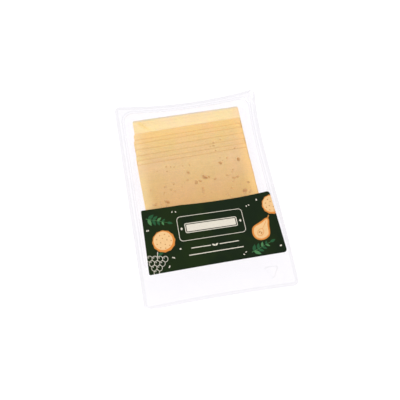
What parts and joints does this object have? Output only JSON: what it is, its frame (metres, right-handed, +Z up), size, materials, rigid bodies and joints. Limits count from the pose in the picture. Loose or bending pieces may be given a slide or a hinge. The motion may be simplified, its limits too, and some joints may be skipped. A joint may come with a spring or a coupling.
{
  "type": "pack of sliced cheese",
  "caption": "Clear sealed tray of shingled hard cheese slices with small eyes, under a sagging clear lid film with a dark green label across its near half.",
  "frame": {"origin": "centre of the footprint, on the surface that the pack lies on", "axes": "+X across the pack, +Y along it towards the far end where the slices step down, +Z up through the lid film"},
  "size_m": [0.14, 0.2, 0.0143],
  "materials": {
    "clear_tray": "clear glossy thermoformed sheet",
    "clear_film": "clear glossy flexible film",
    "cheese": "soft satin, slightly translucent pale yellow cheese",
    "label_paper": "semi-gloss printed paper, dark green"
  },
  "bodies": {
    "root": {"tray": "clear_tray", "slice_1": "cheese", "slice_2": "cheese", "slice_3": "cheese", "slice_4": "cheese", "slice_5": "cheese", "slice_6": "cheese", "slice_7": "cheese", "slice_8": "cheese", "lid_film": "clear_film", "label": "label_paper"}
  },
  "joints": []
}
